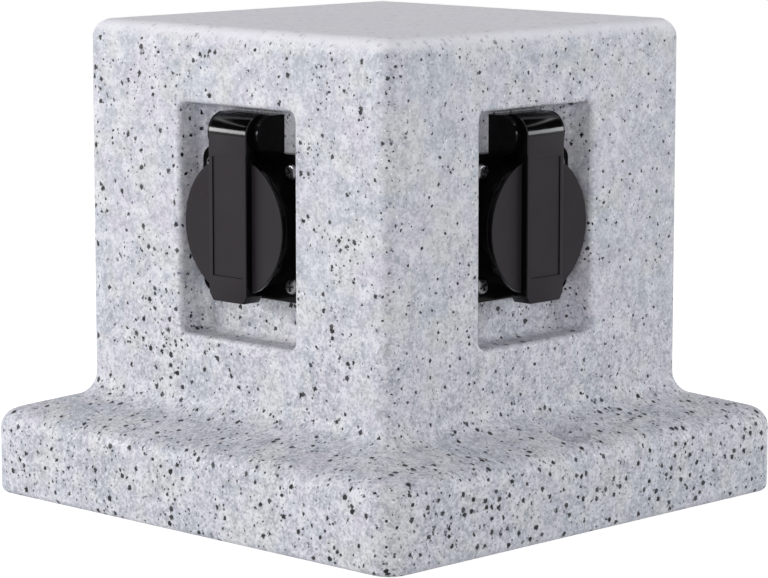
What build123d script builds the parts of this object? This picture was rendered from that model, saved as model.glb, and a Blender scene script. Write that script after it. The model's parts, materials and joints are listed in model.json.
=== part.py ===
from build123d import *
import os

# A four-way garden socket: a square granite-effect block on a wider base, with a
# hinged-lid earthed socket sunk into each of its four sides. Millimetres.
# The origin is under the middle of the base, z is up, and the front socket faces -y.
# A socket is modelled once in its own frame: x to the right, y up and z outwards,
# with z = 0 at the front of its flange, and is then set into each side in turn.

# Housing, outside
body_width = 147.2
body_corner_radius = 5.0
overall_height = 168.1
top_edge_radius = 6.5
ledge_width = 25.4
base_corner_radius = 9.0
base_side_height = 28.7
ledge_rise = 7.6
shoulder_radius = 7.0
ledge_fillet_radius = 9.0
foot_edge_radius = 2.5

# Housing, walls
shell_wall = 4.0
base_wall = 5.0
recess_wall = 4.0

# Recess in each side
socket_height = 101.7
socket_shift = 2.0
recess_side_gap = 3.0
recess_sill_gap = 14.2
recess_ceiling_gap = 2.2
recess_corner_radius = 3.0
recess_edge_radius = 1.7
recess_floor_radius = 2.9

# Socket flange and barrel
flange_size = 50.0
flange_corner_radius = 4.5
flange_thickness = 2.5
flange_setback = 7.95
gasket_thickness = 0.8
collar_wall = 2.7
collar_height = 6.0
barrel_wall = 1.7
well_radius = 19.8
well_depth = 17.5
well_floor = 3.0
chamber_side_wall = 2.5
barrel_clearance = 0.5
edge_round = 0.6

# Contacts
pin_spacing = 19.0
pin_hole_radius = 2.75
pin_length = 19.0
sleeve_radius = 3.5
sleeve_bore_radius = 2.45
sleeve_end = 1.5
chamber_length = 11.5
chamber_wall = 1.4
earth_strip_width = 4.0
earth_strip_thickness = 1.0
earth_strip_gap = 1.2
earth_strip_setback = 1.5

# Rear cover and leads
cover_thickness = 3.0
cover_spigot_length = 2.0
cover_spigot_wall = 2.0
lead_radius = 1.4
lead_bend_radius = 9.0
lead_straight = 3.0
earth_lead_drop = 9.0

# Flange screws
flange_screw_spacing = 38.5
flange_screw_radius = 1.5
flange_screw_length = 12.0
flange_screw_head_radius = 2.9
flange_screw_head_height = 1.9
flange_screw_seat = 0.5
flange_screw_seat_radius = 3.7
first_screw_turn = 20.0
next_screw_turn = 35.0

# Hinge
elbow_below_flange_top = 1.1
elbow_radius = 7.0
cheek_radius = 6.9
cheek_set_back = 2.4
cheek_thickness = 2.7
hinge_pin_radius = 1.5
hinge_pin_cover = 0.9
spring_radius = 3.6
spring_length = 9.2
spring_room = 0.6

# Lid
lid_overhang = 1.3
lid_thickness = 2.15
lid_edge_round = 0.4
lid_seal_thickness = 0.9
lid_seal_width = 2.6
strap_width = 18.4
strap_height = 2.5
strap_below_flange = 0.5
strap_edge_radius = 0.9
strap_toe_width = 1.8
strap_toe_height = 3.0
grip_depth = 7.6
label_width = 13.6
label_bottom = -16.9
label_top = 23.5
label_depth = 0.4

# Bottom plate
plate_setback = 3.5
plate_thickness = 3.0
plate_gasket_thickness = 1.0
lip_width = 5.0
lip_thickness = 3.0
plate_corner_radius = 5.0
plate_screw_inset = 10.5
plate_boss_radius = 6.0
plate_boss_height = 16.0
plate_screw_radius = 2.0
plate_screw_length = 15.0
plate_screw_head_radius = 4.0
plate_screw_head_height = 2.2

# Ground fixing seats in the two ledges on the x axis
fixing_offset = 12.4
fixing_seat_radius = 8.0
fixing_seat_depth = 3.0
fixing_seat_round = 1.2
fixing_hole_radius = 2.75
fixing_column_radius = 10.0

# Cable entry in the back of the base
entry_height = 16.5
entry_boss_half_width = 13.0
entry_boss_depth = 5.5
grommet_flange_radius = 7.7
grommet_flange_thickness = 3.0
grommet_set_in = 0.5
grommet_neck_radius = 5.9
grommet_bead_radius = 7.0
grommet_bead_thickness = 2.5
grommet_bore_radius = 4.0
grommet_round = 0.8

# Terminal block
block_height = 16.0
block_margin = 4.0
block_screw_offset = 8.0
clamp_screw_radius = 1.4
clamp_screw_length = 4.0
clamp_screw_below_top = 5.0

# Cross recess and rounding of a screw head, as shares of its radius and height
cross_width_share = 0.32
cross_arm_share = 0.62
cross_depth_share = 0.55
head_round_share = 0.6

# How far a cut runs past a face, how far joined forms overlap, and edge matching
cut_past = 1.0
joined_by = 0.5
edge_tolerance = 0.01

# Clearances
running = 0.3
loose = 0.2
snug = 0.1
pin_fit = 0.05

# Worked-out places
body_half = body_width / 2
base_half = body_half + ledge_width
ledge_top = base_side_height + ledge_rise
flange_half = flange_size / 2
flange_front = body_half - flange_setback
recess_half_width = flange_half + recess_side_gap
recess_floor = flange_front - flange_thickness - gasket_thickness
hinge_up = flange_half + elbow_radius - elbow_below_flange_top
recess_bottom = socket_height - flange_half - recess_sill_gap
recess_top = socket_height + hinge_up + elbow_radius + recess_ceiling_gap
collar_radius = well_radius + collar_wall
barrel_radius = well_radius + barrel_wall
chamber_radius = barrel_radius - chamber_side_wall
lid_radius = collar_radius + lid_overhang
earth_strip_offset = well_radius - earth_strip_gap - earth_strip_thickness / 2
floor_front = collar_height - well_depth
floor_back = floor_front - well_floor
sleeve_length = pin_length - well_floor + sleeve_end + running
sleeve_back = floor_back - sleeve_length
barrel_back = sleeve_back - loose
cover_back = barrel_back - cover_thickness
disc_back = collar_height + running + lid_seal_thickness
disc_front = disc_back + lid_thickness
strap_front = disc_front + strap_height
hood_back = -flange_thickness - gasket_thickness + snug
hinge_out = max(strap_front - elbow_radius, hood_back + elbow_radius + running)
cheek_inside = strap_width / 2 + running
cheek_outside = cheek_inside + cheek_thickness
pin_half = cheek_outside - hinge_pin_cover
hood_top = hinge_up + cheek_radius
cheek_out = hinge_out - cheek_set_back
spring_half_room = spring_length / 2 + spring_room
spring_bore_radius = spring_radius + spring_room
strap_bottom = -flange_half - strap_below_flange
plate_top = plate_setback + plate_thickness
lip_bottom = plate_top + plate_gasket_thickness
lip_top = lip_bottom + lip_thickness
cavity_half = base_half - base_wall
plate_screw_place = cavity_half - plate_screw_inset
fixing_place = body_half + fixing_offset
fixing_floor = base_side_height + ledge_rise / 2 - fixing_seat_depth
entry_face = base_half - grommet_set_in
entry_seat = entry_face - grommet_flange_thickness
entry_inside = cavity_half - entry_boss_depth
lead_rise_place = flange_front + cover_back - lead_bend_radius - lead_straight
block_half = lead_rise_place + block_margin
block_top = plate_top + block_height

sides = ["front", "right", "back", "left"]


def upright(radius, bottom, top, x=0.0, y=0.0):
    """A round bar along z."""
    return Pos(x, y, (bottom + top) / 2) * Cylinder(radius, top - bottom)


def crossbar(radius, half_length, y, z):
    """A round bar along x, centred on x = 0."""
    return Pos(0, y, z) * Rot(0, 90, 0) * Cylinder(radius, 2 * half_length)


def block(x_range, y_range, z_range):
    """A plain box given by its limits."""
    sizes = [high - low for low, high in (x_range, y_range, z_range)]
    middles = [(high + low) / 2 for low, high in (x_range, y_range, z_range)]
    return Pos(*middles) * Box(*sizes)


def rounded_slab(width, corner_radius, bottom, top):
    """A square slab with rounded upright corners."""
    outline = Pos(0, 0, bottom) * RectangleRounded(width, width, corner_radius)
    return extrude(outline, amount=top - bottom)


def bar_along_y(radius, back, front, x, z):
    """A round bar along y."""
    return Pos(x, (back + front) / 2, z) * Rot(90, 0, 0) * Cylinder(radius, front - back)


def corner_places(spacing):
    """The four corners of a square of side spacing."""
    half = spacing / 2
    return [(x, y) for x in (-half, half) for y in (-half, half)]


def side_sign(index):
    """The sockets lean towards the front right and back left corners in turn."""
    return 1 if index % 2 == 0 else -1


def side_place(index):
    """Where the socket frame of one side lies in the object."""
    set_back = Pos(side_sign(index) * socket_shift, -flange_front, socket_height)
    return Rot(0, 0, 90 * index) * set_back * Rot(90, 0, 0)


def edges_at_height(shape, height):
    """Edges that lie wholly at one height."""
    chosen = []
    for edge in shape.edges():
        box = edge.bounding_box()
        if max(abs(box.min.Z - height), abs(box.max.Z - height)) < edge_tolerance:
            chosen.append(edge)
    return chosen


def housing_outside():
    """The outer form: base, sloping ledge and body, with every edge softened."""
    base = rounded_slab(2 * base_half, base_corner_radius, 0, base_side_height)
    ledge_foot = Pos(0, 0, base_side_height) * RectangleRounded(
        2 * base_half, 2 * base_half, base_corner_radius
    )
    ledge_head = Pos(0, 0, ledge_top) * RectangleRounded(
        body_width, body_width, body_corner_radius
    )
    ledge = loft([ledge_foot, ledge_head], ruled=True)
    body = rounded_slab(body_width, body_corner_radius, ledge_top, overall_height)
    form = base + ledge + body
    form = fillet(edges_at_height(form, overall_height), top_edge_radius)
    form = fillet(edges_at_height(form, ledge_top), ledge_fillet_radius)
    form = fillet(edges_at_height(form, base_side_height), shoulder_radius)
    return fillet(edges_at_height(form, 0), foot_edge_radius)


def housing_inside():
    """The hollow of the shell above the lip of the bottom plate."""
    inner_ledge = base_side_height - shell_wall
    inner_body = 2 * (body_half - shell_wall)
    inner_corner = body_corner_radius - shell_wall
    hollow = rounded_slab(2 * cavity_half, plate_corner_radius, lip_top, inner_ledge)
    foot = Pos(0, 0, inner_ledge) * RectangleRounded(
        2 * (cavity_half - shell_wall), 2 * (cavity_half - shell_wall), plate_corner_radius
    )
    head = Pos(0, 0, ledge_top - shell_wall) * RectangleRounded(
        inner_body, inner_body, inner_corner
    )
    shaft = rounded_slab(inner_body, inner_corner, inner_ledge, overall_height - shell_wall)
    return hollow + loft([foot, head], ruled=True) + shaft


def cavity_outline(shrink=0.0):
    """The plan of the open bottom, less the fixing columns."""
    width = 2 * (cavity_half - shrink)
    plan = RectangleRounded(width, width, plate_corner_radius)
    for x in (-fixing_place, fixing_place):
        plan -= Pos(x, 0) * Circle(fixing_column_radius + shrink)
    return plan


def plan_slab(plan, bottom, top):
    """A flat plan drawn up between two heights."""
    return extrude(Pos(0, 0, bottom) * plan, amount=top - bottom)


def recess_tub(index):
    """The walls round one recess, inside the shell."""
    half = recess_half_width + recess_wall
    shift = side_sign(index) * socket_shift
    tub = block(
        (shift - half, shift + half),
        (-body_half + shell_wall / 2, -recess_floor + recess_wall),
        (recess_bottom - recess_wall, recess_top + recess_wall),
    )
    return Rot(0, 0, 90 * index) * tub


def recess_cut(index):
    """The recess, the hole for the barrel and the pilot holes of one side."""
    height = recess_top - recess_bottom
    outline = RectangleRounded(2 * recess_half_width, height, recess_corner_radius)
    middle = (recess_top + recess_bottom) / 2 - socket_height
    floor = recess_floor - flange_front
    opening = extrude(Pos(0, middle, floor) * outline, amount=flange_setback - floor + cut_past)
    opening = fillet(edges_at_height(opening, floor), recess_floor_radius)
    opening += upright(barrel_radius + barrel_clearance, floor - recess_wall - cut_past, floor + cut_past)
    for x, y in corner_places(flange_screw_spacing):
        pilot = flange_screw_radius + pin_fit
        opening += upright(pilot, floor - recess_wall - cut_past, floor + cut_past, x, y)
    return side_place(index) * opening


def recess_rims(shape):
    """The edges where the recesses meet the four faces of the body."""
    chosen = []
    face = body_half - edge_tolerance
    for edge in shape.edges():
        box = edge.bounding_box()
        middle = box.center()
        on_x_face = box.size.X < edge_tolerance and abs(middle.X) > face
        on_y_face = box.size.Y < edge_tolerance and abs(middle.Y) > face
        above_sill = box.min.Z > recess_bottom - edge_tolerance
        below_top = box.max.Z < recess_top + edge_tolerance
        if above_sill and below_top and (on_x_face or on_y_face):
            chosen.append(edge)
    return chosen


def fixing_cut(x):
    """The screw seat and hole of one ground fixing."""
    seat = upright(fixing_seat_radius, fixing_floor, ledge_top + ledge_fillet_radius, x)
    seat = fillet(edges_at_height(seat, fixing_floor), fixing_seat_round)
    return seat + upright(fixing_hole_radius, -cut_past, fixing_floor + cut_past, x)


def stone_housing():
    """The moulded shell with its recesses, lip, bosses, columns and cable entry."""
    shell = housing_outside()
    for index in range(len(sides)):
        shell -= recess_cut(index)
    shell = fillet(recess_rims(shell), recess_edge_radius)

    hollow = housing_inside()
    hollow += plan_slab(cavity_outline(), -cut_past, lip_bottom)
    hollow += plan_slab(cavity_outline(lip_width), lip_bottom - cut_past, lip_top + cut_past)
    for index in range(len(sides)):
        hollow -= recess_tub(index)
        hollow += recess_cut(index)
    for x, y in corner_places(2 * plate_screw_place):
        hollow -= upright(plate_boss_radius, lip_bottom, ledge_top, x, y)
        pilot = plate_screw_radius + pin_fit
        hollow += upright(pilot, lip_bottom - cut_past, lip_bottom + plate_boss_height, x, y)
    for x in (-fixing_place, fixing_place):
        hollow -= upright(fixing_column_radius, -cut_past, ledge_top, x)
    hollow -= block(
        (-entry_boss_half_width, entry_boss_half_width),
        (entry_inside, cavity_half + cut_past),
        (lip_bottom, ledge_top),
    )
    shell -= hollow
    shell -= bar_along_y(
        grommet_neck_radius + snug, entry_inside - cut_past, base_half, 0, entry_height
    )
    shell -= bar_along_y(
        grommet_flange_radius + running, entry_seat, base_half + cut_past, 0, entry_height
    )
    for x in (-fixing_place, fixing_place):
        shell -= fixing_cut(x)
    return shell


def cross_recess(head_radius, head_height):
    """The cross cut in a screw head."""
    half_width = head_radius * cross_width_share / 2
    reach = head_radius * cross_arm_share
    depth = head_height * cross_depth_share
    arm = block(
        (-reach, reach), (-half_width, half_width), (head_height - depth, head_height + cut_past)
    )
    return arm + Rot(0, 0, 90) * arm


def pan_screw(radius, length, head_radius, head_height):
    """A pan-head screw along z, its shank below z = 0."""
    head = upright(head_radius, 0, head_height)
    head = fillet(edges_at_height(head, head_height), head_height * head_round_share)
    screw = head + upright(radius, -length, head_height / 2)
    return screw - cross_recess(head_radius, head_height)


def base_plate():
    """The plate that closes the bottom, with its screw holes."""
    plate = plan_slab(cavity_outline(running), plate_setback, plate_top)
    for x, y in corner_places(2 * plate_screw_place):
        plate -= upright(plate_screw_radius + snug, plate_setback - cut_past, plate_top + cut_past, x, y)
    for x in (-block_screw_offset, block_screw_offset):
        plate -= upright(plate_screw_radius + snug, plate_setback - cut_past, plate_top + cut_past, x)
    return plate


def base_plate_gasket():
    """The seal between the plate and the lip."""
    ring = cavity_outline(running) - cavity_outline(lip_width)
    return plan_slab(ring, plate_top, lip_bottom)


def screws_from_below(places):
    """Pan-head screws driven up through the bottom plate."""
    screw = pan_screw(
        plate_screw_radius, plate_screw_length, plate_screw_head_radius, plate_screw_head_height
    )
    return [Pos(x, y, plate_setback) * Rot(180, 0, 0) * screw for x, y in places]


def socket_body():
    """Flange, collar, well, barrel and the hinge hood, in the socket frame."""
    outline = RectangleRounded(flange_size, flange_size, flange_corner_radius)
    flange = extrude(Pos(0, 0, -flange_thickness) * outline, amount=flange_thickness)
    flange = fillet(edges_at_height(flange, 0), edge_round)
    collar = upright(collar_radius, -flange_thickness, collar_height)
    collar = fillet(edges_at_height(collar, collar_height), edge_round)
    barrel = upright(barrel_radius, barrel_back, -flange_thickness / 2)
    body = flange + collar + barrel
    body -= upright(well_radius, floor_front, collar_height + cut_past)
    body -= upright(chamber_radius, barrel_back - cut_past, floor_back)
    for x in (-pin_spacing / 2, pin_spacing / 2):
        outer = sleeve_radius + snug + chamber_wall
        body += upright(outer, floor_back - chamber_length, floor_back + joined_by, x)
        body -= upright(sleeve_radius + snug, floor_back - chamber_length - cut_past, floor_back, x)
        body -= upright(pin_hole_radius, floor_back - cut_past, floor_front + cut_past, x)
    slot_half_width = earth_strip_width / 2 + running
    slot_half_height = earth_strip_thickness / 2 + running
    for y in (-earth_strip_offset, earth_strip_offset):
        body -= block(
            (-slot_half_width, slot_half_width),
            (y - slot_half_height, y + slot_half_height),
            (floor_back - cut_past, floor_front + cut_past),
        )
    body += hinge_hood()
    body -= crossbar(hinge_pin_radius + pin_fit, pin_half + pin_fit, hinge_up, hinge_out)
    for x, y in corner_places(flange_screw_spacing):
        body -= upright(flange_screw_radius + loose, -flange_thickness - cut_past, cut_past, x, y)
        body -= upright(flange_screw_seat_radius, -flange_screw_seat, cut_past, x, y)
    return body


def hinge_hood():
    """Two round-nosed cheeks and the bridge behind the lid's elbow."""
    width = (-cheek_outside, cheek_outside)
    foot = flange_half - flange_corner_radius
    hood = block(width, (foot, flange_half + snug), (-flange_thickness, 0))
    hood += block(width, (flange_half + snug, hood_top), (hood_back, cheek_out))
    nose = crossbar(cheek_radius, cheek_outside, hinge_up, cheek_out)
    hood += nose & block(width, (foot, hood_top), (hood_back, cheek_out + cheek_radius))
    hood -= crossbar(elbow_radius + running, cheek_inside, hinge_up, hinge_out)
    return hood - block(
        (-cheek_inside, cheek_inside),
        (flange_half + running, hinge_up),
        (hood_back - cut_past, strap_front),
    )


def flange_gasket():
    """The flat seal between the flange and the recess floor."""
    outline = RectangleRounded(flange_size, flange_size, flange_corner_radius)
    back = -flange_thickness - gasket_thickness
    gasket = extrude(Pos(0, 0, back) * outline, amount=gasket_thickness)
    gasket -= upright(barrel_radius + barrel_clearance, back - cut_past, 0)
    for x, y in corner_places(flange_screw_spacing):
        gasket -= upright(flange_screw_radius + loose, back - cut_past, 0, x, y)
    return gasket


def flange_screws():
    """The four screws at the corners of the flange."""
    screw = pan_screw(
        flange_screw_radius, flange_screw_length, flange_screw_head_radius, flange_screw_head_height
    )
    screws = []
    for index, (x, y) in enumerate(corner_places(flange_screw_spacing)):
        turn = first_screw_turn + index * next_screw_turn
        screws.append(Pos(x, y, -flange_screw_seat) * Rot(0, 0, turn) * screw)
    return screws


def contact_sleeves():
    """The two sleeves that grip the plug's pins."""
    sleeves = []
    for x in (-pin_spacing / 2, pin_spacing / 2):
        sleeve = upright(sleeve_radius, sleeve_back, floor_back, x)
        sleeve -= upright(sleeve_bore_radius, sleeve_back + sleeve_end, floor_back + cut_past, x)
        sleeves.append(sleeve)
    return sleeves


def earth_clip():
    """The strip behind the well floor with a spring leg at the top and the bottom."""
    half_width = earth_strip_width / 2
    low = earth_strip_offset - earth_strip_thickness / 2
    high = earth_strip_offset + earth_strip_thickness / 2
    back = floor_back - earth_strip_thickness
    clip = block((-half_width, half_width), (-high, high), (back, floor_back))
    tip = collar_height - earth_strip_setback
    clip += block((-half_width, half_width), (low, high), (back, tip))
    clip += block((-half_width, half_width), (-high, -low), (back, tip))
    return clip


def lead_ends():
    """Each lead's place across the socket, its height and where it ends."""
    half = pin_spacing / 2
    strip_back = floor_back - earth_strip_thickness
    return [(-half, 0, sleeve_back), (0, -earth_lead_drop, strip_back), (half, 0, sleeve_back)]


def rear_cover():
    """The cover that closes the back of the barrel."""
    cover = upright(barrel_radius, cover_back, barrel_back)
    spigot_radius = chamber_radius - loose
    spigot = upright(spigot_radius, barrel_back - joined_by, barrel_back + cover_spigot_length)
    bore_top = barrel_back + cover_spigot_length + cut_past
    spigot -= upright(spigot_radius - cover_spigot_wall, barrel_back, bore_top)
    cover += spigot
    for x, y, _ in lead_ends():
        cover -= upright(lead_radius + loose, cover_back - cut_past, barrel_back + cut_past, x, y)
    return cover


def socket_leads():
    """Three insulated leads from the terminal block up into the rear cover."""
    rise = lead_rise_place - flange_front
    foot = block_top - socket_height
    leads = []
    for x, y, end in lead_ends():
        path = FilletPolyline((x, foot, rise), (x, y, rise), (x, y, end), radius=lead_bend_radius)
        start = Plane(origin=(x, foot, rise), z_dir=(0, 1, 0))
        leads.append(sweep(start * Circle(lead_radius), path=path))
    return leads


def toe_cut(side):
    """The slanted corner cut at the foot of the strap, on one side."""
    half = strap_width / 2
    inside = side * (half - strap_toe_width)
    outside = side * (half + cut_past)
    toe_top = strap_bottom + strap_toe_height
    below = strap_bottom - cut_past
    outline = Polyline(
        (side * half, toe_top),
        (inside, strap_bottom),
        (inside, below),
        (outside, below),
        (outside, toe_top),
        close=True,
    )
    back = strap_front - grip_depth - cut_past
    return extrude(Pos(0, 0, back) * make_face(outline), amount=grip_depth + 2 * cut_past)


def knuckle_cuts(half):
    """The pin hole through the elbow and the room for the spring, open to the back."""
    cuts = crossbar(hinge_pin_radius + pin_fit, half + cut_past, hinge_up, hinge_out)
    cuts += crossbar(spring_bore_radius, spring_half_room, hinge_up, hinge_out)
    return cuts + block(
        (-spring_half_room, spring_half_room),
        (hinge_up - spring_bore_radius, hinge_up + spring_bore_radius),
        (hinge_out - elbow_radius - cut_past, hinge_out),
    )


def lid():
    """Disc, strap, elbow and grip as one moulding."""
    half = strap_width / 2
    disc = upright(lid_radius, disc_back, disc_front)
    disc = fillet(edges_at_height(disc, disc_front), lid_edge_round)
    strap = block((-half, half), (strap_bottom, hinge_up), (disc_back, strap_front))
    long_front_edges = strap.edges().filter_by(Axis.Y).group_by(Axis.Z)[-1]
    strap = fillet(long_front_edges, strap_edge_radius)
    grip_top = -collar_radius - running
    grip = block((-half, half), (strap_bottom, grip_top), (strap_front - grip_depth, disc_front))
    moulding = disc + strap + grip + crossbar(elbow_radius, half, hinge_up, hinge_out)
    for side in (-1, 1):
        moulding -= toe_cut(side)
    moulding -= block(
        (-label_width / 2, label_width / 2),
        (label_bottom, label_top),
        (strap_front - label_depth, strap_front + cut_past),
    )
    return moulding - knuckle_cuts(half)


def lid_seal():
    """The soft ring behind the disc that rests over the collar."""
    front = disc_back
    back = disc_back - lid_seal_thickness
    ring = upright(collar_radius - snug, back, front)
    return ring - upright(collar_radius - lid_seal_width, back - cut_past, front + cut_past)


def hinge_pin():
    """The pin through the elbow, its ends hidden in the two cheeks."""
    return crossbar(hinge_pin_radius, pin_half, hinge_up, hinge_out)


def hinge_spring():
    """The closing spring as the sleeve of space that its turns fill."""
    sleeve = crossbar(spring_radius, spring_length / 2, hinge_up, hinge_out)
    return sleeve - crossbar(hinge_pin_radius + pin_fit, spring_length, hinge_up, hinge_out)


def terminal_block():
    """The block that joins the supply to the twelve socket leads."""
    width = 2 * block_half
    slab = rounded_slab(width, block_margin / 2, plate_top, block_top)
    for x in (-block_screw_offset, block_screw_offset):
        reach = plate_setback + plate_screw_length
        slab -= upright(plate_screw_radius + pin_fit, plate_top - cut_past, reach + loose, x)
    for turn, x in clamp_screw_places():
        slab -= Rot(0, 0, turn) * clamp_bar(clamp_screw_radius + pin_fit, x, cut_past)
    return slab


def clamp_screw_places():
    """One clamping screw on the block's side below each lead."""
    places = []
    for index in range(len(sides)):
        shift = side_sign(index) * socket_shift
        for x, _, _ in lead_ends():
            places.append((90 * index, x + shift))
    return places


def clamp_bar(radius, x, proud):
    """A round bar into the front side of the block."""
    height = block_top - clamp_screw_below_top
    return bar_along_y(radius, -block_half - proud, -block_half + clamp_screw_length, x, height)


def clamp_screws():
    """The twelve clamping screws, flush with the block's sides."""
    screws = []
    for turn, x in clamp_screw_places():
        screws.append(Rot(0, 0, turn) * clamp_bar(clamp_screw_radius, x, 0.0))
    return screws


def cable_grommet():
    """The rubber grommet that seals the cable's way through the base."""
    height = entry_height
    bead_back = entry_inside - grommet_bead_thickness
    flange = bar_along_y(grommet_flange_radius, entry_seat, entry_face, 0, height)
    rim = flange.edges().filter_by(GeomType.CIRCLE).sort_by(Axis.Y)[-1]
    grommet = fillet(rim, grommet_round)
    neck_back = entry_inside - joined_by
    neck_front = entry_seat + joined_by
    grommet += bar_along_y(grommet_neck_radius, neck_back, neck_front, 0, height)
    bead = bar_along_y(grommet_bead_radius, bead_back, entry_inside, 0, height)
    tail = bead.edges().filter_by(GeomType.CIRCLE).sort_by(Axis.Y)[0]
    grommet += fillet(tail, grommet_round)
    bore_ends = (bead_back - cut_past, entry_face + cut_past)
    return grommet - bar_along_y(grommet_bore_radius, *bore_ends, 0, height)


def save(name, shape):
    """Write one node, as a group where it is several solids."""
    solids = shape if isinstance(shape, list) else list(shape.solids())
    whole = Compound(children=solids) if len(solids) > 1 else solids[0]
    export_step(whole, f"parts/{name}.step")


def main():
    """Build every node of the object."""
    os.makedirs("parts", exist_ok=True)
    save("stone_housing", stone_housing())
    save("base_plate", base_plate())
    save("base_plate_gasket", base_plate_gasket())
    save("base_plate_screws", screws_from_below(corner_places(2 * plate_screw_place)))
    block_places = [(-block_screw_offset, 0), (block_screw_offset, 0)]
    save("terminal_block", terminal_block())
    save("terminal_block_screws", screws_from_below(block_places))
    save("terminal_clamp_screws", clamp_screws())
    save("cable_grommet", cable_grommet())

    pieces = {
        "socket_body": socket_body(),
        "flange_gasket": flange_gasket(),
        "flange_screws": flange_screws(),
        "contact_sleeves": contact_sleeves(),
        "earth_clip": earth_clip(),
        "rear_cover": rear_cover(),
        "socket_leads": socket_leads(),
        "lid": lid(),
        "lid_seal": lid_seal(),
        "hinge_pin": hinge_pin(),
        "hinge_spring": hinge_spring(),
    }
    for index, side in enumerate(sides):
        place = side_place(index)
        for name, shape in pieces.items():
            placed = [place * solid for solid in shape] if isinstance(shape, list) else place * shape
            save(f"{side}_{name}", placed)


main()
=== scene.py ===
"""Looks for a four-way garden socket: granite-effect housing, black sockets and hinged lids."""

import json
import logging
import math
from dataclasses import dataclass, field
from enum import Enum
from typing import Callable, Dict, NamedTuple, Sequence, Tuple, Union

import bmesh
import bpy
from mathutils import Matrix, Vector


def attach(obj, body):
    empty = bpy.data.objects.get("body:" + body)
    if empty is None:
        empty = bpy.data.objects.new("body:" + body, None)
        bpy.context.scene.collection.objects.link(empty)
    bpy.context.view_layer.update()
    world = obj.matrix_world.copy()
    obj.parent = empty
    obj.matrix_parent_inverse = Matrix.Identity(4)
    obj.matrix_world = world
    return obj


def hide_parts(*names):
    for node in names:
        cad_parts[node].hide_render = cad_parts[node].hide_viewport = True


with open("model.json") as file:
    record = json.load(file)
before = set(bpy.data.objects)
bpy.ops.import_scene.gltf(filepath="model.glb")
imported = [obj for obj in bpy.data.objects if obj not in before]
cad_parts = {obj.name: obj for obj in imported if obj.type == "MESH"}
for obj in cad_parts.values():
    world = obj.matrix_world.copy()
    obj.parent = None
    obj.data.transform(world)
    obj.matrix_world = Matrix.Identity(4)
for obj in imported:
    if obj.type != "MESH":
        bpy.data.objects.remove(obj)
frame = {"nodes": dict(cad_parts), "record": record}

LOG = logging.getLogger("garden_socket")
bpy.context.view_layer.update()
MM = 0.001
Colour = Tuple[float, float, float, float]
Socket = bpy.types.NodeSocket

SOCKET_SHIFT = 2.0 * MM
FLANGE_FRONT = 65.65 * MM
SOCKET_HEIGHT = 101.7 * MM
STUDIO_MIDDLE = Vector((0, 0, 0.08))
SMOOTH_BELOW = math.radians(32)

MIX_SHARE, MIX_FIRST, MIX_SECOND, MIX_RESULT = 0, 6, 7, 2


def rgba(red: float, green: float, blue: float) -> Colour:
    """An opaque linear colour."""
    return (red, green, blue, 1.0)


WHITE = rgba(1.0, 1.0, 1.0)


class Side(Enum):
    """The four sides of the housing, in the order the sockets are set round it."""

    FRONT = 0
    RIGHT = 1
    BACK = 2
    LEFT = 3

    @property
    def word(self) -> str:
        """The side's name as the nodes carry it."""
        return self.name.lower()

    @property
    def place(self) -> Matrix:
        """The way from a socket's own frame to this side.

        Returns:
            The transform, in metres.
        """
        lean = SOCKET_SHIFT if self.value % 2 == 0 else -SOCKET_SHIFT
        set_in = Matrix.Translation((lean, -FLANGE_FRONT, SOCKET_HEIGHT))
        turned = Matrix.Rotation(math.radians(90 * self.value), 4, "Z")
        return turned @ set_in @ Matrix.Rotation(math.radians(90), 4, "X")


class Sheen(Enum):
    """How rough a plastic's surface is, from polished to matt."""

    POLISHED = 0.11
    GLOSS = 0.14
    SATIN = 0.34
    MATT = 0.62


class Ramp(NamedTuple):
    """A smooth climb of one value while another goes from low to high."""

    low: float
    high: float
    to_low: float = 0.0
    to_high: float = 1.0


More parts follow.
